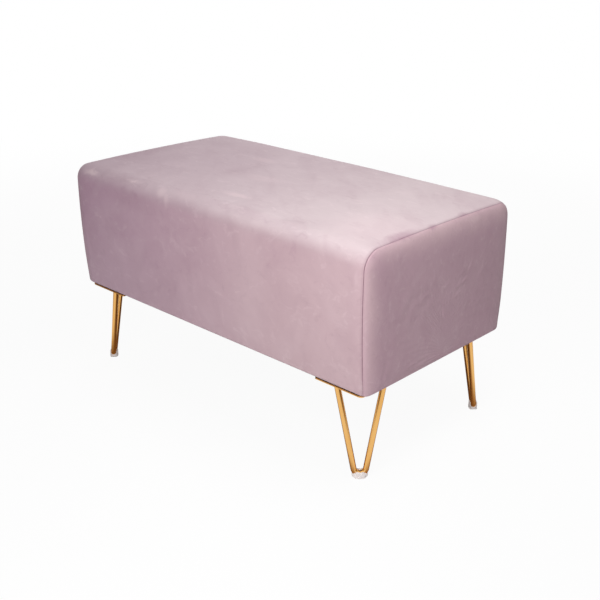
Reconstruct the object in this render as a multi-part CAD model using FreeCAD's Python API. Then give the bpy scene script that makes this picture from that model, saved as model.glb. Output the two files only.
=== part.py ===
import FreeCAD, Part
import math
import os

Vector = FreeCAD.Vector

# A low upholstered bench: a velvet box on four gold hairpin legs.
# X runs along the bench, -Y is its front and Z is up.
# The origin is on the floor under the middle of the bench. Sizes are in millimetres.

# Driving sizes of the whole bench; the leg height is to the top of the leg plates
bench_length = 800.0
bench_depth = 415.0
leg_height = 177.2
body_height = 259.5

# Form of the upholstered body
side_lean = 3.4
side_crown = 4.2
top_crown = 3.0
length_crown = 3.0
top_edge_radius = 29.5
seam_edge_radius = 34.5
seam_edge_gathering = 8.0
bottom_edge_radius = 6.5
seam_roll_depth = 4.0
seam_roll_run = 24.0
seam_roll_turn = math.radians(65)
end_depth = 9.0
end_run = 100.0
end_fullness = 4.6
end_base_share = 0.4
end_corner_radius = 22.0

# Velvet cover, felt dust cover and padding
cover_thickness = 1.2
flap_width = 36.0
dust_cover_thickness = 2.4
dust_cover_side_inset = 9.0
dust_cover_end_inset = 10.0
foam_clearance = 0.3
side_foam = 10.0
end_foam = 8.0
seat_foam_edge_thickness = 40.0

# Wooden frame
board_thickness = 12.0
rail_width = 35.0
rail_thickness = 18.0
centre_rail_width = 45.0
brace_thickness = 12.0
post_width = 30.0
corner_block_side = 70.0

# Hairpin legs
rod_diameter = 11.0
rod_spread = 82.0
rod_bend_radius = 11.6
leg_end_setback = 37.5
leg_side_setback = 40.6
leg_splay = 25.0
weld_width = 2.5
weld_height = 4.0
plate_side = 109.0
plate_thickness = 3.2
plate_tip = 10.0
plate_end_inset = 13.0
plate_side_inset = 5.0
plate_heel_radius = 8.0
plate_tip_radius = 2.5

# Foot caps
cap_length = 29.0
cap_width = 17.0
cap_floor = 1.8
cap_flat_length = 18.0
cap_end_low = 3.5
cap_end_high = 7.5
cap_shoulder_height = 11.5
cap_shoulder_inner = 5.0
cap_shoulder_outer = 9.0
cap_saddle_height = 9.0
cap_clearance = 0.1

# Fasteners
leg_screw_radius = 2.0
leg_screw_length = 20.0
leg_screw_point_radius = 0.3
leg_screw_head_rounding = 1.4
leg_screw_head_radius = 4.0
leg_screw_head_height = 2.4
leg_screw_hole_clearance = 0.4
recess_length = 4.4
recess_width = 0.9
recess_depth = 1.2
screw_heel = 26.0
screw_tip_along = 86.0
screw_tip_across = 18.0
screw_middle = 54.0
frame_screw_radius = 1.8
frame_screw_length = 36.0
frame_screw_head_radius = 3.6
frame_screw_head_height = 2.0
frame_screw_pitch = 230.0
post_screw_end = 35.0
staple_crown = 10.0
staple_wire = 0.7
staple_crown_thickness = 0.5
staple_leg = 7.0
staple_edge = 6.0
dust_staple_edge = 8.0
cover_staple_pitch = 58.0
dust_staple_pitch = 64.0
staple_keep_off = 11.0

# Levels and half sizes worked out from the sizes above
body_base = leg_height + dust_cover_thickness
body_top = body_base + body_height
half_length = bench_length / 2
half_depth = bench_depth / 2
foot_half_depth = half_depth - side_lean
seam_x = half_length - end_depth
frame_base = body_base + cover_thickness
frame_half_length = seam_x - cover_thickness - end_foam
frame_half_depth = foot_half_depth - cover_thickness - side_foam
frame_top = body_top - cover_thickness - seat_foam_edge_thickness
board_base = frame_base + rail_thickness
board_top = frame_top - board_thickness
inner_half_length = frame_half_length - board_thickness
inner_half_depth = frame_half_depth - board_thickness
rail_inner_x = frame_half_length - rail_width
rail_inner_y = frame_half_depth - rail_width
flap_inner_x = half_length - flap_width
flap_inner_y = foot_half_depth - flap_width
dust_half_length = half_length - dust_cover_end_inset
dust_half_depth = foot_half_depth - dust_cover_side_inset
plate_base = leg_height - plate_thickness
plate_corner_x = half_length - plate_end_inset
plate_corner_y = foot_half_depth - plate_side_inset
rod_radius = rod_diameter / 2
leg_screw_hole_radius = leg_screw_radius + leg_screw_hole_clearance

# Where the body's cross-sections stand: shares of half its middle part, and the
# numbers of steps in the roll to each seam and over each padded end
section_shares = (0.3, 0.6, 0.8, 0.9, 0.95, 0.98, 1.0)
seam_roll_steps = 6
end_steps = 12
flatness = 0.001

sides_x = {"left": -1, "right": 1}
sides_y = {"front": -1, "back": 1}
corners = [(name_y + "_" + name_x, sx, sy)
           for name_y, sy in sides_y.items() for name_x, sx in sides_x.items()]


def box(x0, x1, y0, y1, z0, z1):
    return Part.makeBox(x1 - x0, y1 - y0, z1 - z0, Vector(x0, y0, z0))


def centred_box(half_x, half_y, z0, z1):
    return box(-half_x, half_x, -half_y, half_y, z0, z1)


def sided_box(sx, x0, x1, sy, y0, y1, z0, z1):
    # A box given by its distances from the middle of the bench, on one side of it
    return box(min(sx * x0, sx * x1), max(sx * x0, sx * x1),
               min(sy * y0, sy * y1), max(sy * y0, sy * y1), z0, z1)


def save(name, shape):
    solids = shape.Solids
    result = solids[0] if len(solids) == 1 else Part.makeCompound(solids)
    if not solids or not result.isValid():
        raise RuntimeError(name + " isn't a valid solid")
    result.exportStep("parts/" + name + ".step")
    print(name, len(solids), "solid(s),", round(result.Volume / 1000, 2), "cm3")


# The body's outline
# Each cross-section is a crowned top, two leaning crowned sides and a flat base,
# all joined by tangent arcs, and the body is a loft through such sections.

def bulged_circle(start, end, bulge):
    # Centre and radius of the arc that stands bulge outside the chord from start to end
    chord = end - start
    radius = (chord.Length ** 2 / 4 + bulge ** 2) / (2 * bulge)
    outward = Vector(0, chord.z, -chord.y).normalize()
    return (start + end) / 2 - outward * (radius - bulge), radius


def corner_circle_centre(centre_a, reach_a, centre_b, reach_b):
    # The outer one of the two points at these distances from the two centres
    gap = centre_b - centre_a
    along = (reach_a ** 2 - reach_b ** 2 + gap.Length ** 2) / (2 * gap.Length)
    across = math.sqrt(reach_a ** 2 - along ** 2)
    unit = Vector(gap).normalize()
    normal = Vector(0, -unit.z, unit.y)
    foot = centre_a + unit * along
    choices = [foot + normal * across, foot - normal * across]
    return max(choices, key=lambda point: point.y + point.z)


def arc_between(start, end, centre, radius):
    middle = centre + ((start + end) / 2 - centre).normalize() * radius
    return Part.Arc(start, middle, end).toShape()


def mirrored(point):
    return Vector(point.x, -point.y, point.z)


def section(x, inset, base_rise, inside):
    # The closed cross-section at x; inside is how far it lies within the outer face.
    # Outside the seams the base is inset less, as the cover is pulled tight there.
    half_top = half_depth - inset - inside
    beyond_seam = max(0.0, inset - seam_roll_depth)
    half_base = foot_half_depth - inset + beyond_seam * (1 - end_base_share) - inside
    crown_here = length_crown * max(0.0, 1 - (x / seam_x) ** 2)
    top = body_top + crown_here - inset - inside
    base = body_base + base_rise + inside
    if abs(x) <= seam_x:
        gathered = (abs(x) / seam_x) ** seam_edge_gathering
        edge_radius = top_edge_radius + (seam_edge_radius - top_edge_radius) * gathered
    else:
        rolled = (inset - seam_roll_depth) / end_run
        edge_radius = seam_edge_radius + (end_corner_radius - seam_edge_radius) * rolled
    corner_radius = edge_radius - inside
    base_radius = bottom_edge_radius - inside

    top_right = Vector(x, half_top, top)
    base_right = Vector(x, half_base, base)
    top_centre, top_reach = bulged_circle(top_right, mirrored(top_right), top_crown)
    side_centre, side_reach = bulged_circle(base_right, top_right, side_crown)
    corner = corner_circle_centre(top_centre, top_reach - corner_radius,
                                  side_centre, side_reach - corner_radius)
    base_corner_z = base + base_radius
    base_corner_y = side_centre.y + math.sqrt(
        (side_reach - base_radius) ** 2 - (base_corner_z - side_centre.z) ** 2)
    base_corner = Vector(x, base_corner_y, base_corner_z)

    base_point = Vector(x, base_corner_y, base)
    side_low = side_centre + (base_corner - side_centre).normalize() * side_reach
    side_high = side_centre + (corner - side_centre).normalize() * side_reach
    top_point = top_centre + (corner - top_centre).normalize() * top_reach
    left_side_centre = mirrored(side_centre)
    left_corner = mirrored(corner)
    left_base_corner = mirrored(base_corner)
    return Part.Wire([
        Part.LineSegment(mirrored(base_point), base_point).toShape(),
        arc_between(base_point, side_low, base_corner, base_radius),
        arc_between(side_low, side_high, side_centre, side_reach),
        arc_between(side_high, top_point, corner, corner_radius),
        arc_between(top_point, mirrored(top_point), top_centre, top_reach),
        arc_between(mirrored(top_point), mirrored(side_high), left_corner, corner_radius),
        arc_between(mirrored(side_high), mirrored(side_low), left_side_centre, side_reach),
        arc_between(mirrored(side_low), mirrored(base_point), left_base_corner, base_radius),
    ])


def middle_sections(inside):
    # The body between its two end seams, rolling in a little to each seam
    edge = seam_x - seam_roll_run
    half = [(edge * share, 0.0) for share in section_shares]
    for step in range(1, seam_roll_steps + 1):
        turn = seam_roll_turn * step / seam_roll_steps
        run = seam_roll_run * math.sin(turn) / math.sin(seam_roll_turn)
        inset = seam_roll_depth * (1 - math.cos(turn)) / (1 - math.cos(seam_roll_turn))
        half.append((edge + run, inset))
    stations = [(-x, inset) for x, inset in reversed(half)] + [(0.0, 0.0)] + half
    return [section(x, inset, 0.0, inside) for x, inset in stations]


def end_sections(side, inside):
    # The padded end outside its seam: it rolls over fast and then crowns gently,
    # as a superellipse of depth end_depth and reach end_run
    depth = end_depth - inside
    base_radius = bottom_edge_radius - inside
    wires = []
    for step in range(end_steps + 1):
        share = 1 - math.cos(math.pi / 2 * step / end_steps)
        out = depth * math.sqrt(1 - (1 - share) ** end_fullness)
        inset = seam_roll_depth + end_run * share
        into_round = max(0.0, base_radius - (depth - out))
        rise = base_radius - math.sqrt(base_radius ** 2 - into_round ** 2)
        wires.append(section(side * (seam_x + out), inset, rise, inside))
    return wires


def form_faces(wires):
    # The loft's faces, with a true plane where the base is flat
    faces = Part.makeLoft(wires, False).Faces
    return [Part.Face(Part.Wire(Part.__sortEdges__(f.Edges)))
            if f.BoundBox.ZLength < flatness else f for f in faces]


def solid_form(wires):
    faces = form_faces(wires) + [Part.Face(wires[0]), Part.Face(wires[-1])]
    form = Part.makeCompound(faces)
    form.sewShape()
    return Part.Solid(form.Shells[0])


def fabric_skin(outer, inner, closed_end):
    # The layer between two lofts, with a flat rim where each begins and, unless the
    # end is closed over, where each ends
    faces = form_faces(outer) + form_faces(inner)
    faces += Part.Face(outer[0]).cut(Part.Face(inner[0])).Faces
    if closed_end:
        faces += [Part.Face(outer[-1]), Part.Face(inner[-1])]
    else:
        faces += Part.Face(outer[-1]).cut(Part.Face(inner[-1])).Faces
    layer = Part.makeCompound(faces)
    layer.sewShape()
    return Part.Solid(layer.Shells[0])


def make_flap(outline, cutters):
    points = [Vector(x, y, body_base) for x, y in outline]
    face = Part.Face(Part.makePolygon(points + points[:1]))
    return face.extrude(Vector(0, 0, cover_thickness)).cut(cutters)


# Places of the fasteners

def plate_point(sx, sy, along_x, along_y, z):
    # A point given by its distances from the right-angled corner of a leg plate
    return Vector(sx * (plate_corner_x - along_x), sy * (plate_corner_y - along_y), z)


def leg_screw_points(z):
    places = [(screw_heel, screw_heel), (screw_tip_along, screw_tip_across),
              (screw_tip_across, screw_tip_along), (screw_middle, screw_middle)]
    return [plate_point(sx, sy, a, b, z) for _, sx, sy in corners for a, b in places]


def row(half_span, pitch):
    # Evenly spaced places on a line of length 2 * half_span, at most pitch apart
    gaps = max(1, math.ceil(2 * half_span / pitch))
    return [-half_span + 2 * half_span * i / gaps for i in range(gaps + 1)]


def make_staple(crown_base, along_x):
    # A staple driven upwards at the origin, its crown starting at crown_base
    half = staple_crown / 2
    thin = staple_wire / 2
    upper = frame_base + staple_leg
    parts = [box(low, high, -thin, thin, crown_base, top) for low, high, top in (
        (-half, half, crown_base + staple_crown_thickness),
        (-half, -half + staple_wire, upper),
        (half - staple_wire, half, upper))]
    shape = parts[0].fuse(parts[1:]).removeSplitter()
    if not along_x:
        shape.rotate(Vector(0, 0, 0), Vector(0, 0, 1), 90)
    return shape


def place_staples(crown_base, places):
    kinds = {along_x: make_staple(crown_base, along_x) for along_x in (True, False)}
    return [kinds[along_x].translated(Vector(x, y, 0)) for x, y, along_x in places]


def make_cover_staples():
    y_line = flap_inner_y + staple_edge
    x_line = flap_inner_x + staple_edge
    places = [(x, sy * y_line, True) for sy in (-1, 1)
              for x in row(flap_inner_x - staple_crown, cover_staple_pitch)]
    places += [(sx * x_line, y, False) for sx in (-1, 1)
               for y in row(flap_inner_y - 2 * staple_crown, cover_staple_pitch)]
    screws = leg_screw_points(0.0)
    clear = [p for p in places
             if all((Vector(p[0], p[1], 0) - s).Length > staple_keep_off for s in screws)]
    return place_staples(body_base, clear)


def make_dust_staples():
    y_line = frame_half_depth - dust_staple_edge
    x_line = frame_half_length - dust_staple_edge
    x_span = plate_corner_x - plate_side - 2 * staple_crown
    y_span = plate_corner_y - plate_side - 2 * staple_crown
    places = [(x, sy * y_line, True) for sy in (-1, 1) for x in row(x_span, dust_staple_pitch)]
    places += [(sx * x_line, y, False) for sx in (-1, 1)
               for y in row(y_span, dust_staple_pitch)]
    return place_staples(leg_height - staple_crown_thickness, places)


def make_leg_screw():
    # At the origin: a pan head under the plate, a shank into the wood, a cross recess
    low = -leg_screw_head_height
    head = Part.makeCylinder(leg_screw_head_radius, leg_screw_head_height, Vector(0, 0, low))
    rim = [e for e in head.Edges if e.BoundBox.ZMax < low + flatness]
    head = head.makeFillet(leg_screw_head_rounding, rim)
    tip = leg_screw_radius * 2
    shank = Part.makeCylinder(leg_screw_radius, leg_screw_length - tip)
    end = Part.makeCone(leg_screw_radius, leg_screw_point_radius, tip,
                        Vector(0, 0, leg_screw_length - tip))
    half = recess_length / 2
    thin = recess_width / 2
    cross = [centred_box(a, b, low, low + recess_depth) for a, b in ((half, thin), (thin, half))]
    return head.fuse([shank, end]).removeSplitter().cut(cross[0].fuse(cross[1]))


def make_flat_screw(head_point, direction):
    # A screw whose head sits flush in the board it enters
    head = Part.makeCylinder(frame_screw_head_radius, frame_screw_head_height,
                             head_point, direction)
    shank = Part.makeCylinder(frame_screw_radius, frame_screw_length, head_point, direction)
    return head.fuse(shank).removeSplitter()


def make_top_screws():
    y_line = frame_half_depth - board_thickness / 2
    span = frame_half_length - board_thickness - post_width - post_screw_end
    points = [Vector(x, sy * y_line, frame_top) for sy in (-1, 1)
              for x in row(span, frame_screw_pitch)]
    post_centre_x = inner_half_length - post_width / 2
    post_centre_y = inner_half_depth - post_width / 2
    points += [Vector(sx * post_centre_x, sy * post_centre_y, frame_top)
               for _, sx, sy in corners]
    return [make_flat_screw(p, Vector(0, 0, -1)) for p in points]


def make_post_screws():
    x = inner_half_length - post_width / 2
    screws = []
    for _, sx, sy in corners:
        for z in (board_base + post_screw_end, board_top - 2 * post_screw_end):
            screws.append(make_flat_screw(Vector(sx * x, sy * frame_half_depth, z),
                                          Vector(0, -sy, 0)))
    return screws


# Hairpin legs

def leg_frame(sx, sy):
    # The middle between a leg's two rods under the plate, and its two directions:
    # along the hairpin's width, and outwards over the corner of the bench
    middle = plate_point(sx, sy, leg_end_setback, leg_side_setback, plate_base)
    outward = Vector(sx, sy, 0).normalize()
    along = Vector(-outward.y, outward.x, 0)
    return middle, along, outward


def rod_path(sx, sy):
    # The hairpin lies in one plane that leans out to the foot. In that plane u runs
    # along its width and v up from the lowest point of the rod's centre line.
    middle, along, outward = leg_frame(sx, sy)
    lowest_z = cap_floor + rod_radius
    rise = plate_base - lowest_z
    slant = math.hypot(rise, leg_splay)
    lowest = middle + outward * leg_splay - Vector(0, 0, rise)
    up = (middle - lowest) / slant
    half_spread = rod_spread / 2
    over = slant - rod_bend_radius
    lean = math.atan(half_spread / over) - math.asin(
        rod_bend_radius / math.hypot(half_spread, over))

    def place(u, v):
        return lowest + along * u + up * v

    touch_u = rod_bend_radius * math.cos(lean)
    touch_v = rod_bend_radius * (1 - math.sin(lean))
    extra = rod_diameter
    top_u = half_spread + extra * math.tan(lean)
    top_v = slant + extra
    return [place(-top_u, top_v), place(-touch_u, touch_v), place(0, 0),
            place(touch_u, touch_v), place(top_u, top_v)]


def bent_rod(points, radius):
    wire = Part.Wire([
        Part.LineSegment(points[0], points[1]).toShape(),
        Part.Arc(points[1], points[2], points[3]).toShape(),
        Part.LineSegment(points[3], points[4]).toShape(),
    ])
    circle = Part.Circle(points[0], points[1] - points[0], radius).toShape()
    return wire.makePipeShell([Part.Wire([circle])], True, False)


def above_plate_base(sx, sy):
    middle, _, _ = leg_frame(sx, sy)
    reach = rod_spread
    return box(middle.x - reach, middle.x + reach, middle.y - reach, middle.y + reach,
               plate_base, plate_base + reach)


def make_rod(sx, sy):
    return bent_rod(rod_path(sx, sy), rod_radius).cut(above_plate_base(sx, sy))


def make_welds(sx, sy, rod):
    # A bead round each rod where it meets the plate
    points = rod_path(sx, sy)
    beads = []
    for far, near in ((points[0], points[1]), (points[4], points[3])):
        axis = (near - far).normalize()
        start = far + axis * ((plate_base - far.z) / axis.z)
        back = rod_radius
        top_radius = rod_radius + weld_width * (1 + back / weld_height)
        cone = Part.makeCone(top_radius, rod_radius, weld_height + back,
                             start - axis * back, axis)
        beads.append(cone.cut(above_plate_base(sx, sy)).cut(rod))
    return beads


def upright_edges(plate, points):
    # The plate's vertical edges that stand on these points
    return [e for e in plate.Edges
            if e.BoundBox.ZLength > plate_thickness / 2
            and any((e.CenterOfMass - p).Length < plate_thickness for p in points)]


def make_plate(sx, sy):
    # A triangle under the corner of the body, with its two sharp tips cut off
    outline = [(0, 0), (plate_side, 0), (plate_side, plate_tip),
               (plate_tip, plate_side), (0, plate_side)]
    points = [plate_point(sx, sy, a, b, plate_base) for a, b in outline]
    face = Part.Face(Part.makePolygon(points + points[:1]))
    plate = face.extrude(Vector(0, 0, plate_thickness))
    plate = plate.makeFillet(plate_tip_radius, upright_edges(plate, points[1:]))
    plate = plate.makeFillet(plate_heel_radius, upright_edges(plate, points[:1]))
    holes = [Part.makeCylinder(leg_screw_hole_radius, plate_thickness, p)
             for p in leg_screw_points(plate_base) if p.x * sx > 0 and p.y * sy > 0]
    return plate.cut(holes)


def make_cap(sx, sy):
    # A clear boot that the bend of the rod sits in: oval seen from above, with a
    # saddle between its two shoulders and ends cut low, where the rod comes out
    middle, along, outward = leg_frame(sx, sy)
    centre = middle + outward * leg_splay
    centre.z = 0
    half_flat = cap_flat_length / 2
    half_cap = cap_length / 2

    def place(u, z, t=0.0):
        return centre + along * u + outward * t + Vector(0, 0, z)

    shift = -cap_width
    outline = [(-half_flat, 0), (half_flat, 0), (half_cap, cap_end_low),
               (half_cap, cap_end_high), (cap_shoulder_outer, cap_shoulder_height),
               (cap_shoulder_inner, cap_shoulder_height)]
    points = [place(u, z, shift) for u, z in outline]
    edges = [Part.LineSegment(a, b).toShape() for a, b in zip(points, points[1:])]
    left = [place(-u, z, shift) for u, z in outline[2:]]
    edges.append(Part.Arc(points[-1], place(0, cap_saddle_height, shift), left[-1]).toShape())
    edges += [Part.LineSegment(a, b).toShape() for a, b in zip(left[::-1], left[-2::-1])]
    edges.append(Part.LineSegment(left[0], points[0]).toShape())
    side_view = Part.Face(Part.Wire(edges)).extrude(outward * (2 * cap_width))
    oval = Part.Ellipse(place(half_cap + cap_clearance, 0), place(0, 0, cap_width / 2),
                        centre).toShape()
    plan_view = Part.Face(Part.Wire([oval])).extrude(Vector(0, 0, cap_shoulder_height))
    groove = bent_rod(rod_path(sx, sy), rod_radius + cap_clearance)
    return side_view.common(plan_view).cut(groove)


# Building and saving

os.makedirs("parts", exist_ok=True)

cover_staples = make_cover_staples()
dust_staples = make_dust_staples()
one_leg_screw = make_leg_screw()
leg_screws = [one_leg_screw.translated(p) for p in leg_screw_points(plate_base)]
screw_holes = [Part.makeCylinder(leg_screw_hole_radius, frame_base - plate_base, p)
               for p in leg_screw_points(plate_base)]
flap_cutters = Part.makeCompound(cover_staples + dust_staples + screw_holes)
wood_cutters = Part.makeCompound(cover_staples + dust_staples + leg_screws)
top_screws = make_top_screws()
post_screws = make_post_screws()
board_cutters = Part.makeCompound(top_screws + post_screws)

# Velvet cover: a main panel over the front, top and back, and two sewn end panels.
# Each has flaps that turn in under the rails and meet at mitred corners.

open_base = centred_box(half_length, frame_half_depth, 0, board_base)
main_skin = fabric_skin(middle_sections(0.0), middle_sections(cover_thickness), False)
mitre_x = seam_x - (frame_half_depth - flap_inner_y)
main_flaps = [make_flap([(-seam_x, side * frame_half_depth), (seam_x, side * frame_half_depth),
                         (mitre_x, side * flap_inner_y), (-mitre_x, side * flap_inner_y)],
                        flap_cutters)
              for side in sides_y.values()]
save("cover_main", main_skin.cut(open_base).fuse(main_flaps).removeSplitter())
mitre_y = frame_half_depth - (seam_x - flap_inner_x)
for name, side in sides_x.items():
    end_skin = fabric_skin(end_sections(side, 0.0), end_sections(side, cover_thickness), True)
    end_flap = make_flap([(side * seam_x, -frame_half_depth), (side * seam_x, frame_half_depth),
                          (side * flap_inner_x, mitre_y), (side * flap_inner_x, -mitre_y)],
                         flap_cutters)
    save("cover_end_" + name, end_skin.fuse(end_flap).removeSplitter())

dust_cover = centred_box(dust_half_length, dust_half_depth, leg_height, body_base)
save("dust_cover", dust_cover.cut(flap_cutters))
save("cover_staples", Part.makeCompound(cover_staples))
save("dust_cover_staples", Part.makeCompound(dust_staples))

# Foam: the space between the cover and the frame, cut into the slabs it is glued from
foam_inside = cover_thickness + foam_clearance
padding = solid_form(middle_sections(foam_inside)).fuse(
    [solid_form(end_sections(side, foam_inside)) for side in sides_x.values()])
padding = padding.removeSplitter()
reach_x = bench_length
reach_y = bench_depth
save("seat_foam", padding.common(centred_box(reach_x, reach_y, frame_top, 2 * body_top)))
for name, side in sides_y.items():
    zone = sided_box(1, -frame_half_length, frame_half_length,
                     side, frame_half_depth, reach_y, 0, frame_top)
    save("foam_" + name, padding.common(zone))
for name, side in sides_x.items():
    zone = sided_box(side, frame_half_length, reach_x, 1, -reach_y, reach_y, 0, frame_top)
    save("foam_end_" + name, padding.common(zone))

# Wooden frame: rails, boards, posts, blocks and the top board
top_board = centred_box(frame_half_length, frame_half_depth, board_top, frame_top)
save("top_board", top_board.cut(board_cutters))
for name, side in sides_y.items():
    rail = sided_box(1, -frame_half_length, frame_half_length,
                     side, rail_inner_y, frame_half_depth, frame_base, board_base)
    save("rail_" + name, rail.cut(wood_cutters))
    board = sided_box(1, -frame_half_length, frame_half_length,
                      side, inner_half_depth, frame_half_depth, board_base, board_top)
    save("side_board_" + name, board.cut(board_cutters))
for name, side in sides_x.items():
    rail = sided_box(side, rail_inner_x, frame_half_length,
                     1, -rail_inner_y, rail_inner_y, frame_base, board_base)
    save("rail_" + name, rail.cut(wood_cutters))
    board = sided_box(side, inner_half_length, frame_half_length,
                      1, -inner_half_depth, inner_half_depth, board_base, board_top)
    save("end_board_" + name, board)
save("rail_centre", centred_box(centre_rail_width / 2, rail_inner_y, frame_base, board_base))
save("centre_brace", centred_box(brace_thickness / 2, inner_half_depth, board_base, board_top))
for name, sx, sy in corners:
    post = sided_box(sx, inner_half_length - post_width, inner_half_length,
                     sy, inner_half_depth - post_width, inner_half_depth,
                     board_base, board_top)
    save("corner_post_" + name, post.cut(board_cutters))
    outline = [(rail_inner_x, rail_inner_y), (rail_inner_x - corner_block_side, rail_inner_y),
               (rail_inner_x, rail_inner_y - corner_block_side)]
    points = [Vector(sx * x, sy * y, frame_base) for x, y in outline]
    block = Part.Face(Part.makePolygon(points + points[:1])).extrude(
        Vector(0, 0, rail_thickness))
    save("corner_block_" + name, block.cut(wood_cutters))
save("top_board_screws", Part.makeCompound(top_screws))
save("post_screws", Part.makeCompound(post_screws))

# Legs
welds = []
for name, sx, sy in corners:
    rod = make_rod(sx, sy)
    save("leg_rod_" + name, rod)
    save("leg_plate_" + name, make_plate(sx, sy))
    save("foot_cap_" + name, make_cap(sx, sy))
    welds += make_welds(sx, sy, rod)
save("leg_welds", Part.makeCompound(welds))
save("leg_screws", Part.makeCompound(leg_screws))
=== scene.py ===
import bpy
import math
import numpy as np
from mathutils import Matrix, Vector, noise


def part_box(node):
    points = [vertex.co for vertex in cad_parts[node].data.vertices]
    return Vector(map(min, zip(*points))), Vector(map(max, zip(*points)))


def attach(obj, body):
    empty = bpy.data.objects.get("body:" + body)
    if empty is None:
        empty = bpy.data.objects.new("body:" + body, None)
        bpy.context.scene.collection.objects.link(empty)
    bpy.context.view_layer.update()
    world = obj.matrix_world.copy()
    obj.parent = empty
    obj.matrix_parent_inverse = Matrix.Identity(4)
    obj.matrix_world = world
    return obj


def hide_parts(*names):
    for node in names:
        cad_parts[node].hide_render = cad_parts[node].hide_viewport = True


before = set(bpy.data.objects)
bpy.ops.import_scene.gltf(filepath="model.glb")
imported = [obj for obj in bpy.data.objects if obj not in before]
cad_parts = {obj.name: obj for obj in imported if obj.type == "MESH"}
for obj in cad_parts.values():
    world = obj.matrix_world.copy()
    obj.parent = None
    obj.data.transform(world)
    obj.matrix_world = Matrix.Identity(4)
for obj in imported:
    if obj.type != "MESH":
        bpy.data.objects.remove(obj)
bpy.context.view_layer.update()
scene = bpy.context.scene
print("frame loaded:", len(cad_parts), "CAD nodes")


# Materials
# A Value wraps one output socket, so that shader maths reads as plain sums.

class Value:
    def __init__(self, finish, socket):
        self.finish = finish
        self.socket = socket

    def sum(self, operation, first, second=0.0):
        return self.finish.make("ShaderNodeMath", {"operation": operation}, {0: first, 1: second})

    def __add__(self, other):
        return self.sum("ADD", self, other)

    def __radd__(self, other):
        return self.sum("ADD", other, self)

    def __sub__(self, other):
        return self.sum("SUBTRACT", self, other)

    def __rsub__(self, other):
        return self.sum("SUBTRACT", other, self)

    def __mul__(self, other):
        return self.sum("MULTIPLY", self, other)

    def __rmul__(self, other):
        return self.sum("MULTIPLY", other, self)

    def __abs__(self):
        return self.sum("ABSOLUTE", self)

    def atLeast(self, other):
        return self.sum("MAXIMUM", self, other)

    def between(self, low, high):
        # 0 below low, 1 above high, eased in between
        return self.finish.make("ShaderNodeMapRange", {"interpolation_type": "SMOOTHSTEP"},
                                {"Value": self, "From Min": low, "From Max": high})


class Finish:
    def __init__(self, owner):
        # owner is a new material or world, whose nodes are made here
        self.owner = owner
        owner.use_nodes = True
        self.tree = owner.node_tree
        self.tree.nodes.clear()

    def make(self, kind, settings, sockets, output=0):
        # One node: its settings first, then the values or links of its sockets
        node = self.tree.nodes.new(kind)
        for name, value in settings.items():
            setattr(node, name, value)
        for name, value in sockets.items():
            if isinstance(name, int):
                target = node.inputs[name]
            else:
                target = next(s for s in node.inputs if s.name == name and s.enabled)
            if isinstance(value, Value):
                self.tree.links.new(value.socket, target)
            elif target.type == "RGBA":
                target.default_value = (*value, 1.0)
            else:
                target.default_value = value
        if isinstance(output, str):
            return Value(self, next(s for s in node.outputs if s.name == output and s.enabled))
        return Value(self, node.outputs[output]) if len(node.outputs) else None

    def place(self):
        # Where a point is on the object, in metres
        return self.make("ShaderNodeTexCoord", {}, {}, "Object")

    def scaled(self, place, factors):
        return self.make("ShaderNodeVectorMath", {"operation": "MULTIPLY"}, {0: place, 1: factors})

    def turned(self, place, degrees):
        return self.make("ShaderNodeVectorRotate", {"rotation_type": "Z_AXIS"},
                         {"Vector": place, "Angle": math.radians(degrees)})

    def axis(self, place, letter):
        return self.make("ShaderNodeSeparateXYZ", {}, {"Vector": place}, letter)

    def length(self, vector):
        return self.make("ShaderNodeVectorMath", {"operation": "LENGTH"}, {0: vector}, "Value")

    def spot(self, place, centre, reach):
        # 1 at the centre of a soft egg-shaped spot, 0 outside it
        away = self.make("ShaderNodeVectorMath", {"operation": "SUBTRACT"}, {0: place, 1: centre})
        away = self.make("ShaderNodeVectorMath", {"operation": "DIVIDE"}, {0: away, 1: reach})
        return 1 - self.length(away).between(0.15, 1.0)

    def grain(self, place, scale, detail=3.0, roughness=0.5, distortion=0.0):
        # The finishes below give each grain's values in this order
        return self.make("ShaderNodeTexNoise", {"noise_dimensions": "3D"},
                         {"Vector": place, "Scale": scale, "Detail": detail,
                          "Roughness": roughness, "Distortion": distortion}, "Fac")

    def blend(self, share, first, second):
        settings = {"data_type": "RGBA", "clamp_factor": True}
        return self.make("ShaderNodeMix", settings,
                         {"Factor": share, "A": first, "B": second}, "Result")

    def bump(self, height, strength, distance, below=None):
        sockets = {"Height": height, "Strength": strength, "Distance": distance}
        if below is not None:
            sockets["Normal"] = below
        return self.make("ShaderNodeBump", {}, sockets, "Normal")

    def surface(self, sockets):
        shader = self.make("ShaderNodeBsdfPrincipled", {}, sockets, "BSDF")
        self.make("ShaderNodeOutputMaterial", {}, {"Surface": shader})
        return self.owner


def newFinish(name):
    return Finish(bpy.data.materials.new(name))


def fromScreen(red, green, blue):
    # A colour as a picture shows it, turned into the light values that a shader takes
    return tuple(((c / 255 + 0.055) / 1.055) ** 2.4 if c > 10 else c / 255 / 12.92
                 for c in (red, green, blue))


# Velvet: short pile that lies in soft clouds, with hand strokes and a few brushed marks,
# and painted light and shade: lighter towards the near end and on the top, a painted
# highlight round each end panel's rim, and painted shade in and beside the seams

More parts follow.
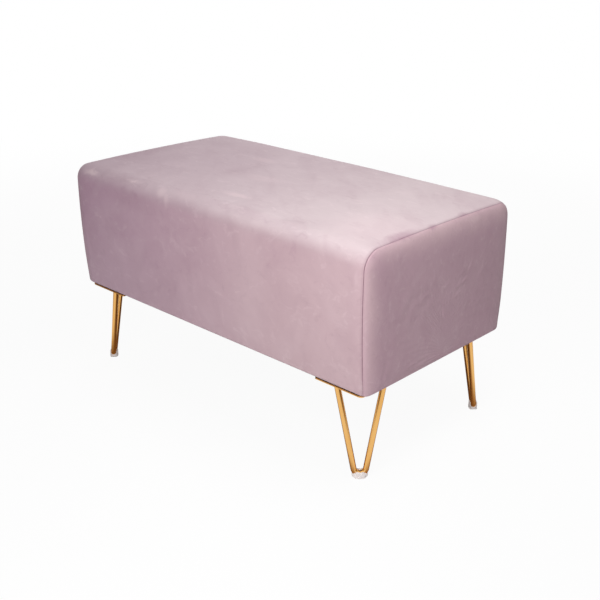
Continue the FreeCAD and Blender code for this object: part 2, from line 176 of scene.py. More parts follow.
velvet = {
    "sideShadedFar": fromScreen(189, 154, 173),
    "sideLitNear": fromScreen(198, 170, 176),
    "topShadedFar": fromScreen(190, 168, 177),
    "topLitNear": fromScreen(200, 184, 187),
    "endRimHighlight": fromScreen(208, 178, 184),
    "endMiddle": fromScreen(192, 159, 171),
    "shade": fromScreen(150, 112, 130),
    "lift": fromScreen(240, 222, 225),
    "brushedAndLit": fromScreen(226, 204, 207),
    "seamShade": fromScreen(116, 80, 94),
    "sheen": 0.18,
    "sheenRoughness": 0.5,
    "sheenColour": fromScreen(246, 232, 235),
    "roughness": 0.84,
    "cloudRoughness": 0.10,
    "shine": 0.12,
    # Grains
    "clouds": (7.0, 4.0, 0.58, 0.6),
    "strokes": (26.0, 2.0, 0.5, 0.5),
    "marks": (85.0, 3.0, 0.6, 1.4),
    "pile": (2400.0, 2.0, 0.6),
    "rim": (13.0, 3.0, 0.6),
    "rippleScale": 55.0,
    "ripple": 0.016,
    "cloudTurn": 40.0,
    "strokeTurn": 42.0,
    # Where each grain darkens or lightens the pile, and by how much
    "cloudDark": (0.42, 0.78),
    "cloudShade": 0.16,
    "cloudLight": (0.25, 0.50),
    "cloudLift": 0.10,
    "strokeDark": (0.45, 0.75),
    "strokeShade": 0.12,
    "endStrokeShade": 0.07,
    "markDark": (0.55, 0.75),
    "markShade": 0.14,
    "markLight": (0.28, 0.45),
    "markLift": 0.12,
    "pileLight": (0.45, 0.75),
    "pileLift": 0.06,
    "paleShare": 0.6,
    # The end panel's painted highlight along its rim, in metres
    "rimWander": 0.028,
    "rimEdge": 0.219,
    "rimRun": 0.040,
    "rimHigh": (0.20, 0.42),
    "rimHighShare": 0.4,
    "rimBack": (-0.12, 0.12),
    "rimBackLoss": 0.75,
    "rimSlope": 0.03,
    "rimFrom": (0.393, 0.443),
    # Painted light on the main panel: it is painted darker at its far end and lighter at its
    # near end, and its top and sides have their own tones, partly the pile's lie and partly
    # painted light; at the far end the top's back and the sides' low part are painted lighter
    "topFrom": (0.405, 0.440),
    "nearFrom": (-0.42, 0.30),
    "topBack": (-0.16, 0.20),
    "topPaintedLight": 0.24,
    "sideLow": (0.20, 0.36),
    "sidePaintedLight": 0.16,
    # The shade in and beside the seam
    "shadedRun": 0.006,
    "besideSeam": 0.26,
    "seamLine": (0.0001, 0.0009),
    "inSeam": 0.35,
    "inSeamMarks": 0.4,
    "strokeStrength": 0.12,
    "strokeRelief": 0.0006,
    "pileStrength": 0.45,
    "pileRelief": 0.00022,
}

# Spots painted paler (this list) and darker (the next): centre, reach and strength, in metres.
# Some are marks where the pile is brushed the other way; others are painted light and
# shade: the broad pale spots on the top near the right end and on the front, and the dark
# spots along the front-top edge's highlight and at the top's far left end
paleMarksAndLight = [
    ((-0.343, -0.201, 0.429), (0.036, 0.014, 0.008), 0.90),
    ((-0.209, -0.195, 0.435), (0.034, 0.007, 0.006), 0.80),
    ((-0.118, -0.200, 0.431), (0.024, 0.014, 0.012), 0.60),
    ((-0.098, -0.206, 0.420), (0.013, 0.014, 0.018), 0.60),
    ((-0.060, -0.197, 0.438), (0.055, 0.014, 0.012), 0.25),
    ((0.030, -0.142, 0.443), (0.048, 0.014, 0.010), 0.60),
    ((-0.120, 0.075, 0.443), (0.050, 0.022, 0.010), 0.40),
    ((-0.020, -0.030, 0.443), (0.070, 0.030, 0.010), 0.30),
    ((0.330, -0.110, 0.443), (0.110, 0.130, 0.030), 0.45),
    ((0.400, 0.088, 0.428), (0.010, 0.026, 0.009), 0.40),
    ((0.125, -0.209, 0.300), (0.080, 0.030, 0.170), 0.26),
]
darkMarksAndShade = [
    ((0.386, -0.112, 0.441), (0.017, 0.064, 0.014), 0.52),
    ((0.390, -0.026, 0.441), (0.009, 0.018, 0.012), 0.30),
    ((0.389, 0.060, 0.441), (0.010, 0.026, 0.012), 0.30),
    ((-0.240, -0.192, 0.430), (0.110, 0.022, 0.014), 0.24),
    ((-0.190, -0.209, 0.400), (0.120, 0.020, 0.030), 0.20),
    ((0.090, -0.190, 0.438), (0.150, 0.024, 0.014), 0.14),
    ((-0.100, -0.020, 0.443), (0.045, 0.070, 0.012), 0.18),
    ((-0.370, -0.040, 0.437), (0.045, 0.180, 0.022), 0.20),
]


def makeVelvet(name, seamLeft, seamRight, strokeStretch, isEnd):
    finish = newFinish(name)
    place = finish.place()
    ripple = finish.make("ShaderNodeTexNoise", {"noise_dimensions": "3D"},
                         {"Vector": place, "Scale": velvet["rippleScale"], "Detail": 2.0}, "Color")
    ripple = finish.scaled(ripple, (velvet["ripple"],) * 3)
    uneven = finish.make("ShaderNodeVectorMath", {"operation": "ADD"}, {0: place, 1: ripple})
    uneven = finish.make("ShaderNodeVectorMath", {"operation": "SUBTRACT"},
                         {0: uneven, 1: (velvet["ripple"] / 2,) * 3})
    clouds = finish.grain(finish.turned(place, velvet["cloudTurn"]), *velvet["clouds"])
    strokes = finish.grain(finish.scaled(finish.turned(uneven, velvet["strokeTurn"]), strokeStretch),
                           *velvet["strokes"])
    marks = finish.grain(finish.scaled(uneven, strokeStretch), *velvet["marks"])
    pile = finish.grain(place, *velvet["pile"])
    offCentre = (seamRight - seamLeft) / 2
    fromSeam = abs(abs(finish.axis(place, "X") - offCentre) - (seamRight + seamLeft) / 2)
    depth = finish.axis(place, "Y")
    height = finish.axis(place, "Z")
    if isEnd:
        # Painted highlight: the panel's rim is painted lighter, most at the near and upper edges
        wander = finish.grain(place, *velvet["rim"]) * velvet["rimWander"]
        inward = (abs(depth) - velvet["rimEdge"] + wander).between(-velvet["rimRun"], 0.0)
        high = height.between(*velvet["rimHigh"]) * velvet["rimHighShare"]
        inward = inward * (1 - velvet["rimHighShare"] + high)
        inward = inward * (1 - depth.between(*velvet["rimBack"]) * velvet["rimBackLoss"])
        upper = height + depth * velvet["rimSlope"] - velvet["rimWander"] / 2 + wander
        upper = upper.between(*velvet["rimFrom"])
        colour = finish.blend(inward.atLeast(upper), velvet["endMiddle"], velvet["endRimHighlight"])
        paintedLight = 0.0
    else:
        # Painted light: the panel is painted darker at its far end and lighter at its near end
        across = finish.axis(place, "X").between(*velvet["nearFrom"])
        # The top's own tone is partly the pile's lie and partly painted light
        onTop = height.between(*velvet["topFrom"])
        sides = finish.blend(across, velvet["sideShadedFar"], velvet["sideLitNear"])
        tops = finish.blend(across, velvet["topShadedFar"], velvet["topLitNear"])
        colour = finish.blend(onTop, sides, tops)
        # Painted light at the far end: the top towards its back and the sides' low part are lighter
        paintedLight = (1 - across) * (onTop * depth.between(*velvet["topBack"]) * velvet["topPaintedLight"]
                                 + (1 - height.between(*velvet["sideLow"])) * velvet["sidePaintedLight"])
    # Brushed marks, together with painted light (pale spots) and painted shade (dark spots)
    pale = sum(finish.spot(uneven, *mark[:2]) * mark[2] for mark in paleMarksAndLight)
    dark = sum(finish.spot(uneven, *mark[:2]) * mark[2] for mark in darkMarksAndShade)
    strokeShade = velvet["endStrokeShade"] if isEnd else velvet["strokeShade"]
    shade = clouds.between(*velvet["cloudDark"]) * velvet["cloudShade"]
    shade = shade + strokes.between(*velvet["strokeDark"]) * strokeShade + dark
    shade = shade + marks.between(*velvet["markDark"]) * velvet["markShade"]
    # Painted shade beside the seam, over the rolled edge's highlight
    shade = shade + (1 - fromSeam.between(0.0, velvet["shadedRun"])) * velvet["besideSeam"]
    lift = (1 - clouds.between(*velvet["cloudLight"])) * velvet["cloudLift"]
    lift = lift + pile.between(*velvet["pileLight"]) * velvet["pileLift"]
    lift = lift + (1 - marks.between(*velvet["markLight"])) * velvet["markLift"] + paintedLight
    colour = finish.blend(shade, colour, velvet["shade"])
    colour = finish.blend(lift, colour, velvet["lift"])
    colour = finish.blend(pale * velvet["paleShare"], colour, velvet["brushedAndLit"])
    # Painted shade: a dark line in the seam's groove
    atSeam = 1 - fromSeam.between(*velvet["seamLine"])
    atSeam = atSeam * (velvet["inSeam"] + marks * velvet["inSeamMarks"])
    colour = finish.blend(atSeam, colour, velvet["seamShade"])
    relief = finish.bump(strokes, velvet["strokeStrength"], velvet["strokeRelief"])
    relief = finish.bump(pile, velvet["pileStrength"], velvet["pileRelief"], relief)
    return finish.surface({
        "Base Color": colour,
        "Roughness": velvet["roughness"] + (clouds - 0.5) * velvet["cloudRoughness"],
        "Normal": relief,
        "Specular IOR Level": velvet["shine"],
        "Sheen Weight": velvet["sheen"],
        "Sheen Roughness": velvet["sheenRoughness"],
        "Sheen Tint": velvet["sheenColour"],
    })


# Gold-coloured plating: polished, with faint drawing marks along the metal

gold = {"deep": fromScreen(249, 192, 112), "light": fromScreen(254, 204, 128),
        "tone": (9.0, 2.0, 0.5), "toneFrom": (0.3, 0.7), "marks": (700.0, 2.0, 0.5),
        "markStrength": 0.05, "markRelief": 0.0001, "roughness": 0.11, "toneRoughness": 0.05,
        "markRoughness": 0.03, "roundedFrom": 0.0022, "roundedTo": 0.0004, "roundedShare": 0.8}


def makeGold(name, along, rounding=None):
    finish = newFinish(name)
    place = finish.place()
    tone = finish.grain(place, *gold["tone"])
    marks = finish.grain(finish.scaled(place, along), *gold["marks"])
    colour = finish.blend(tone.between(*gold["toneFrom"]), gold["deep"], gold["light"])
    relief = finish.bump(marks, gold["markStrength"], gold["markRelief"])
    if rounding is not None:
        # A rolled upper edge, between two heights
        rolled = 1 - finish.axis(place, "Z").between(*rounding)
        height = (rounding[1] - rounding[0]) * gold["roundedShare"]
        relief = finish.bump(rolled, 1.0, height, relief)
    return finish.surface({
        "Base Color": colour,
        "Metallic": 1.0,
        "Roughness": gold["roughness"] + tone * gold["toneRoughness"] + marks * gold["markRoughness"],
        "Normal": relief,
    })


# Soft plastic of the foot caps: milky, finely scuffed, and duller where it meets the floor

plasticLook = {"deep": fromScreen(244, 234, 232), "light": fromScreen(252, 246, 244),
               "scuffs": (320.0, 3.0, 0.6), "dullBelow": 0.004, "roughness": 0.30,
               "scuffed": 0.08, "dulled": 0.2, "refraction": 1.40}


def makeCapPlastic():
    finish = newFinish("capPlastic")
    place = finish.place()
    scuffs = finish.grain(place, *plasticLook["scuffs"])
    low = 1 - finish.axis(place, "Z").between(0.0, plasticLook["dullBelow"])
    roughness = plasticLook["roughness"] + scuffs * plasticLook["scuffed"]
    return finish.surface({
        "Base Color": finish.blend(scuffs, plasticLook["deep"], plasticLook["light"]),
        "Roughness": roughness + low * plasticLook["dulled"],
        "IOR": plasticLook["refraction"],
    })


# Black felt: matted fibres, with needle pricks and a few paler hairs

feltLook = {"deep": fromScreen(22, 20, 21), "light": fromScreen(58, 55, 57),
            "hair": fromScreen(104, 100, 102), "fibres": (620.0, 5.0, 0.7, 1.2),
            "patches": (30.0, 3.0, 0.6), "patchShare": 0.3, "hairs": (500.0, 2.0, 0.6, 2.0),
            "hairTurn": 30.0, "hairStretch": (1.0, 0.12, 1.0), "hairFrom": (0.66, 0.74),
            "hairShare": 0.4, "prickScale": 480.0, "prickSpread": 0.8, "prickFrom": (0.08, 0.22),
            "prickDepth": 0.5, "strength": 0.7, "relief": 0.0004, "roughness": 0.92, "shine": 0.2}


def makeFelt():
    finish = newFinish("blackFelt")
    place = finish.place()
    fibres = finish.grain(place, *feltLook["fibres"])
    patches = finish.grain(place, *feltLook["patches"])
    drawn = finish.scaled(finish.turned(place, feltLook["hairTurn"]), feltLook["hairStretch"])
    hairs = finish.grain(drawn, *feltLook["hairs"])
    pricks = finish.make("ShaderNodeTexVoronoi", {"feature": "F1"},
                         {"Vector": place, "Scale": feltLook["prickScale"],
                          "Randomness": feltLook["prickSpread"]}, "Distance")
    pricked = 1 - pricks.between(*feltLook["prickFrom"])
    share = fibres * (1 - feltLook["patchShare"]) + patches * feltLook["patchShare"]
    colour = finish.blend(share, feltLook["deep"], feltLook["light"])
    share = hairs.between(*feltLook["hairFrom"]) * feltLook["hairShare"]
    colour = finish.blend(share, colour, feltLook["hair"])
    surface = fibres - pricked * feltLook["prickDepth"]
    return finish.surface({
        "Base Color": colour,
        "Roughness": feltLook["roughness"],
        "Specular IOR Level": feltLook["shine"],
        "Normal": finish.bump(surface, feltLook["strength"], feltLook["relief"]),
    })


# Foam: open cells, a little yellowed

foamLook = {"aged": fromScreen(236, 226, 190), "fresh": fromScreen(246, 240, 216),
            "cell": fromScreen(200, 188, 150), "cellScale": 900.0, "cellFrom": (0.2, 0.7),
            "cellShare": 0.5, "age": (7.0, 3.0, 0.5), "strength": 0.7, "relief": 0.0005,
            "roughness": 0.95, "shine": 0.1}


def makeFoam():
    finish = newFinish("foam")
    place = finish.place()
    cells = finish.make("ShaderNodeTexVoronoi", {"feature": "F1"},
                        {"Vector": place, "Scale": foamLook["cellScale"], "Randomness": 1.0}, "Distance")
    age = finish.grain(place, *foamLook["age"])
    colour = finish.blend(age, foamLook["aged"], foamLook["fresh"])
    share = cells.between(*foamLook["cellFrom"]) * foamLook["cellShare"]
    colour = finish.blend(share, colour, foamLook["cell"])
    return finish.surface({
        "Base Color": colour,
        "Roughness": foamLook["roughness"],
        "Specular IOR Level": foamLook["shine"],
        "Normal": finish.bump(1 - cells, foamLook["strength"], foamLook["relief"]),
    })


# Unfinished wood: long grain along one axis, with darker growth lines

woodLook = {"figure": (60.0, 4.0, 0.6, 0.8), "lineFrom": (0.42, 0.62), "pores": (700.0, 3.0, 0.7),
            "poreShare": 0.4, "plyScale": 140.0, "plyWander": 0.6, "plyShade": 0.25,
            "roughness": 0.62, "poreRoughness": 0.2, "strength": 0.4, "relief": 0.0004}


def makeWood(name, light, dark, alongGrain, plies):
    finish = newFinish(name)
    place = finish.place()
    figure = finish.grain(finish.scaled(place, alongGrain), *woodLook["figure"])
    pores = finish.grain(finish.scaled(place, alongGrain), *woodLook["pores"])
    colour = finish.blend(figure.between(*woodLook["lineFrom"]), light, dark)
    if plies:
        layers = finish.make("ShaderNodeTexWave", {"wave_type": "BANDS", "bands_direction": "Z"},
                             {"Vector": place, "Scale": woodLook["plyScale"],
                              "Distortion": woodLook["plyWander"], "Detail": 1.0}, "Fac")
        colour = finish.blend(layers * woodLook["plyShade"], colour, dark)
    grooves = figure * (1 - woodLook["poreShare"]) + pores * woodLook["poreShare"]
    return finish.surface({
        "Base Color": colour,
        "Roughness": woodLook["roughness"] + pores * woodLook["poreRoughness"],
        "Normal": finish.bump(grooves, woodLook["strength"], woodLook["relief"]),
    })


# Steel wire and zinc-plated screws

steelLook = {"detail": 4.0, "fineness": 0.7, "spangleFrom": (0.3, 0.7), "roughness": 0.28,
             "spangleRoughness": 0.2, "strength": 0.2, "relief": 0.0002}


def makeSteel(name, bright, dull, scale):
    finish = newFinish(name)
    place = finish.place()
    spangle = finish.grain(place, scale, steelLook["detail"], steelLook["fineness"])
    return finish.surface({
        "Base Color": finish.blend(spangle.between(*steelLook["spangleFrom"]), dull, bright),
        "Metallic": 1.0,
        "Roughness": steelLook["roughness"] + spangle * steelLook["spangleRoughness"],
        "Normal": finish.bump(spangle, steelLook["strength"], steelLook["relief"]),
    })


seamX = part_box("cover_main")[1].x
leftStretch = 0.0026  # how much further out the fabric reaches at the left end
mainVelvet = makeVelvet("velvetMain", seamX + leftStretch, seamX, (0.30, 1.0, 0.45), False)
endVelvet = makeVelvet("velvetEnd", seamX + leftStretch, seamX, (1.0, 1.0, 0.65), True)
rodGold = makeGold("goldRod", (1.0, 1.0, 0.04))
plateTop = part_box("leg_plate_front_right")[1].z
plateRounding = (plateTop - gold["roundedFrom"], plateTop + gold["roundedTo"])
plateGold = makeGold("goldPlate", (0.08, 1.0, 1.0), plateRounding)
capPlastic = makeCapPlastic()
blackFelt = makeFelt()
foam = makeFoam()
plywood = makeWood("plywood", fromScreen(214, 184, 136), fromScreen(176, 138, 90), (0.05, 1.0, 1.0), True)
pine = makeWood("pine", fromScreen(226, 196, 146), fromScreen(188, 148, 96), (0.06, 1.0, 1.0), False)
zinc = makeSteel("zincScrew", fromScreen(214, 214, 218), fromScreen(160, 160, 166), 500.0)
wire = makeSteel("stapleWire", fromScreen(190, 190, 194), fromScreen(138, 138, 144), 900.0)
print("materials made:", len(bpy.data.materials))


# Building meshes

def makePiece(name, points, faces, material):
    mesh = bpy.data.meshes.new(name)
    mesh.from_pydata([tuple(p) for p in points], [], faces)
    mesh.validate()
    mesh.update()
    mesh.materials.append(material)
    mesh.polygons.foreach_set("use_smooth", [True] * len(mesh.polygons))
    piece = bpy.data.objects.new(name, mesh)
    scene.collection.objects.link(piece)
    return piece


def rowFaces(indexRows, flipped=False):
    faces = []
    for upper, lower in zip(indexRows, indexRows[1:]):
        for j in range(len(upper) - 1):
            quad = (upper[j], upper[j + 1], lower[j + 1], lower[j])
            faces.append(quad[::-1] if flipped else quad)
    return faces


def gridFaces(rows, columns, flipped=False):
    return rowFaces([range(i * columns, (i + 1) * columns) for i in range(rows)], flipped)


def smoothStep(low, high, value):
    t = min(1.0, max(0.0, (value - low) / (high - low)))
    return t * t * (3 - 2 * t)


# The upholstered body
# Its cross-section has a crowned top, leaning crowned sides and a flat base, joined by
# arcs. The main panel covers the front, the top and the back, and an end panel is sewn
# to it at each end.

body = {
    "halfDepth": 0.2075,
    "footHalfDepth": 0.2041,
    "top": 0.4391,
    "sideCrown": 0.0042,
    "topCrown": 0.0030,
    "lengthCrown": 0.0030,
    "edgeRadius": 0.0295,
    "seamEdgeRadius": 0.0345,
    "gathering": 8.0,
    "baseRadius": 0.0065,
    "seamDepth": 0.0040,
    "seamRun": 0.024,
    "seamTurn": math.radians(65),
    "seamRound": 0.0011,
    "seamAllowance": 0.006,
    "endRun": 0.100,
    "endFullness": 4.6,
    "baseFullness": 2.3,
    "baseReach": 0.070,
    "endBaseShare": 0.4,
    "endCornerRadius": 0.022,
    "endPlump": {1: 0.0018, -1: 0.0040},
    "flapInner": 0.1681,
    "endFlapInner": 0.364,
    "endFlapMitre": 0.145,
    "flapLift": 0.0004,
    "stretchFrom": 0.10,
    "hang": 0.0021,
    "hangReach": 0.020,
}
# How much tighter than at the near corner the fabric is drawn over the other corners
tighter = {(-1, -1): 0.0070, (1, -1): 0.0, (-1, 1): 0.0045, (1, 1): 0.0065}
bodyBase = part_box("cover_main")[0].z
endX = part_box("cover_end_right")[1].x
endDepth = {side: endX - seamX + plump for side, plump in body["endPlump"].items()}


def flat(y, z):
    return Vector((y, z))


def bulgedCircle(start, end, bulge):
    chord = end - start
    radius = (chord.length_squared / 4 + bulge ** 2) / (2 * bulge)
    outward = flat(chord.y, -chord.x).normalized()
    return (start + end) / 2 - outward * (radius - bulge), radius


def cornerCentre(centreA, reachA, centreB, reachB):
    gap = centreB - centreA
    along = (reachA ** 2 - reachB ** 2 + gap.length_squared) / (2 * gap.length)
    across = math.sqrt(reachA ** 2 - along ** 2)
    unit = gap.normalized()
    foot = centreA + unit * along
    normal = flat(-unit.y, unit.x)
    return max((foot + normal * across, foot - normal * across), key=lambda p: p.x + p.y)


def arcPoints(start, end, centre, radius, count, includeEnd=False):
    a0 = math.atan2(start.y - centre.y, start.x - centre.x)
    a1 = math.atan2(end.y - centre.y, end.x - centre.x)
    last = count + 1 if includeEnd else count
    angles = [a0 + (a1 - a0) * i / count for i in range(last)]
    return [centre + flat(math.cos(angle), math.sin(angle)) * radius for angle in angles]


outlineCounts = {"flap": 5, "base": 6, "side": 38, "corner": 14, "top": 32}


def halfOutline(x, inset, rise, drawn):
    # From the base to the middle of the top, on the back's side: (y, z) points
    beyondSeam = max(0.0, inset - body["seamDepth"])
    halfTop = body["halfDepth"] - inset
    halfBase = body["footHalfDepth"] - inset + beyondSeam * (1 - body["endBaseShare"])
    crown = body["lengthCrown"] * max(0.0, 1 - (x / seamX) ** 2)
    top = body["top"] + crown - inset
    base = bodyBase + rise
    atSeam = body["seamEdgeRadius"] - drawn
    if abs(x) <= seamX:
        gathered = (abs(x) / seamX) ** body["gathering"]
        radius = body["edgeRadius"] + (atSeam - body["edgeRadius"]) * gathered
    else:
        rolled = min(1.0, beyondSeam / body["endRun"])
        radius = atSeam + (body["endCornerRadius"] - atSeam) * rolled
    baseRadius = body["baseRadius"]
    topRight = flat(halfTop, top)
    baseRight = flat(halfBase, base)
    topCentre, topReach = bulgedCircle(topRight, flat(-halfTop, top), body["topCrown"])
    sideCentre, sideReach = bulgedCircle(baseRight, topRight, body["sideCrown"])
    corner = cornerCentre(topCentre, topReach - radius, sideCentre, sideReach - radius)
    lowZ = base + baseRadius
    lowY = sideCentre.x + math.sqrt((sideReach - baseRadius) ** 2 - (lowZ - sideCentre.y) ** 2)
    low = flat(lowY, lowZ)
    basePoint = flat(lowY, base)
    sideLow = sideCentre + (low - sideCentre).normalized() * sideReach
    sideHigh = sideCentre + (corner - sideCentre).normalized() * sideReach
    topPoint = topCentre + (corner - topCentre).normalized() * topReach
    points = arcPoints(basePoint, sideLow, low, baseRadius, outlineCounts["base"])
    points += arcPoints(sideLow, sideHigh, sideCentre, sideReach, outlineCounts["side"])
    points += arcPoints(sideHigh, topPoint, corner, radius, outlineCounts["corner"])
    points += arcPoints(topPoint, flat(0, topCentre.y + topReach), topCentre, topReach,
                        outlineCounts["top"], True)
    return points


def bothHalves(x, inset, rise=0.0):
    # The front's half outline, mirrored, and the back's
    side = 1 if x > 0 else -1
    return [halfOutline(x, inset, rise, tighter[side, face]) for face in (-1, 1)]


def seamTurn(distance):
    # How far the panel rolls in, this near to the seam
    r = body["seamRound"]
    turned = r - math.sqrt(r * r - (r - distance) ** 2) if distance < r else 0.0
    if distance >= body["seamRun"]:
        return turned
    turn = math.asin((1 - distance / body["seamRun"]) * math.sin(body["seamTurn"]))
    return turned + body["seamDepth"] * (1 - math.cos(turn)) / (1 - math.cos(body["seamTurn"]))


fold = {"height": 0.0006, "run": 0.013, "wideScale": 62, "fineScale": 150, "patchScale": 14,
        "wide": 0.7, "fine": 0.5, "leastStrength": 0.35, "patchRun": 0.35, "slope": 1.7,
        "rightDraw": 3.1, "leftDraw": 8.7}
lump = {"wideScale": 7.0, "wide": 0.0007, "fineScale": 17.0, "fine": 0.00028, "offBase": 0.02}


def puckers(x, y, z):
    # Small gathers across the seam, strongest at it
    run = y + z * fold["slope"]
    side = fold["rightDraw"] if x > 0 else fold["leftDraw"]
    wide = noise.noise(Vector((run * fold["wideScale"], side, 0.0)))
    fine = noise.noise(Vector((run * fold["fineScale"], side + 5, 2.0)))
    patch = noise.noise(Vector((run * fold["patchScale"], side, 9.0)))
    strong = smoothStep(0.0, fold["patchRun"], patch)
    strength = fold["leastStrength"] + (1 - fold["leastStrength"]) * strong
    return (wide * fold["wide"] + fine * fold["fine"]) * strength


def swell(x, y, z, seed):
    # The unevenness of fabric over foam
    at = Vector((x, y, z + seed))
    wide = noise.noise(at * lump["wideScale"]) * lump["wide"]
    return wide + noise.noise(at * lump["fineScale"] + Vector((3, 1, 7))) * lump["fine"]


def fitted(points):
    # The fabric reaches a little further out at the left end, and it hangs a little lower
    # at each corner of the base
    result = []
    for x, y, z in points:
        toCorner = math.hypot(abs(x) - seamX, abs(y) - body["footHalfDepth"])
        hang = 1 - smoothStep(0.0, body["hangReach"], max(toCorner, z - bodyBase))
        x -= leftStretch * smoothStep(body["stretchFrom"], seamX, -x)
        result.append((x, y, z - body["hang"] * hang))
    return result


def distanceFromSeam(x):
    # The seams' middle lies half the stretch to the left
    return abs(abs(x + leftStretch / 2) - seamX - leftStretch / 2)


panel = {"middleStep": 0.0075, "seamGap": 0.0001,
         "edgeSteps": (0.0, 0.0002, 0.0005, 0.0011, 0.0022, 0.0038, 0.006,
                       0.009, 0.0125, 0.0165, 0.021, 0.027)}


def mainStations():
    # Distances of the grid's lines from the middle, and how far each is turned in
    inner = seamX - panel["edgeSteps"][-1]
    count = math.ceil(inner / panel["middleStep"])
    half = [(inner * i / count, 0.0) for i in range(1, count)]
    half += [(seamX - d - panel["seamGap"], seamTurn(d)) for d in reversed(panel["edgeSteps"])]
    half.append((seamX - panel["seamGap"], seamTurn(0.0) + body["seamAllowance"]))
    return [(-x, t) for x, t in reversed(half)] + [(0.0, 0.0)] + half


def buildMainPanel():
    points = []
    stations = mainStations()
    for x, turned in stations:
        fromSeam = seamX - abs(x)
        gather = 0.0
        if turned < body["seamDepth"]:
            gather = fold["height"] * math.exp(-fromSeam / fold["run"])
        lines = []
        for half in bothHalves(x, turned):
            reach = half[0].x - body["flapInner"]
            flap = [flat(body["flapInner"] + reach * i / outlineCounts["flap"], half[0].y)
                    for i in range(outlineCounts["flap"])]
            lines.append(flap + half)
        ring = [(-p.x, p.y) for p in lines[0]] + [(p.x, p.y) for p in reversed(lines[1][:-1])]
        count = len(ring)
        for i, (y, z) in enumerate(ring):
            y0, z0 = ring[max(0, i - 1)]
            y1, z1 = ring[min(count - 1, i + 1)]
            outward = flat(-(z1 - z0), y1 - y0)
            outward = outward.normalized() if outward.length > 0 else flat(0, 1)
            offBase = smoothStep(0.0, lump["offBase"], z - bodyBase)
            move = swell(x, y, z, 0.0) * offBase * smoothStep(0.0, lump["offBase"], fromSeam)
            move += puckers(x, y, z) * gather * offBase
            points.append((x, y + outward.x * move, z + outward.y * move))
    rows = len(stations)
    columns = len(points) // rows
    return makePiece("velvetMainPanel", fitted(points), gridFaces(rows, columns, True),
                     mainVelvet)


def endHeight(inset, side, z=None):
    # How far the padded end stands outside its seam, this far in from its edge; it is
    # drawn flatter near the base
    share = min(1.0, max(0.0, inset / body["endRun"]))
    low = 0.0 if z is None else 1 - smoothStep(0.0, body["baseReach"], z - bodyBase)
    fullness = body["endFullness"] + (body["baseFullness"] - body["endFullness"]) * low
    return endDepth[side] * math.sqrt(1 - (1 - share) ** fullness)


endPanel = {"insets": (0.0, 0.00004, 0.0001, 0.0002, 0.0004, 0.0007, 0.0011, 0.0016, 0.0023, 0.0032,
                       0.0044, 0.006, 0.008, 0.0105, 0.0135, 0.017, 0.021, 0.0255, 0.0305, 0.036,
                       0.042, 0.049, 0.057, 0.066, 0.076, 0.087, 0.100),
            "crown": 0.0012, "crownRun": 0.16, "spineRows": 12, "spineHeight": 0.55,
            "gather": 0.8, "swellFrom": (0.002, 0.03), "spineSwell": 0.4, "swellDraw": 2.0,
            "underShares": (0.04, 0.08, 0.12, 0.17, 0.22, 0.28, 0.36, 0.5, 0.75, 1.0)}


def underPoint(edge, side, share):
    # From the panel's lower edge round the base and along the flap under the rail
    x, y, z = edge
    radius = body["baseRadius"]
    turned = math.acos(min(1.0, max(0.0, 1 - (z - bodyBase) / radius)))
    level = abs(x) - radius * math.sin(turned)
    flapRun = level - body["endFlapInner"]
    path = (radius * turned + flapRun) * share
    if path < radius * turned:
        angle = turned - path / radius
        return side * (level + radius * math.sin(angle)), y, bodyBase + radius * (1 - math.cos(angle))
    along = (path - radius * turned) / flapRun
    return (side * (level - flapRun * along), y * (1 - body["endFlapMitre"] * along),
            bodyBase + body["flapLift"] * along)


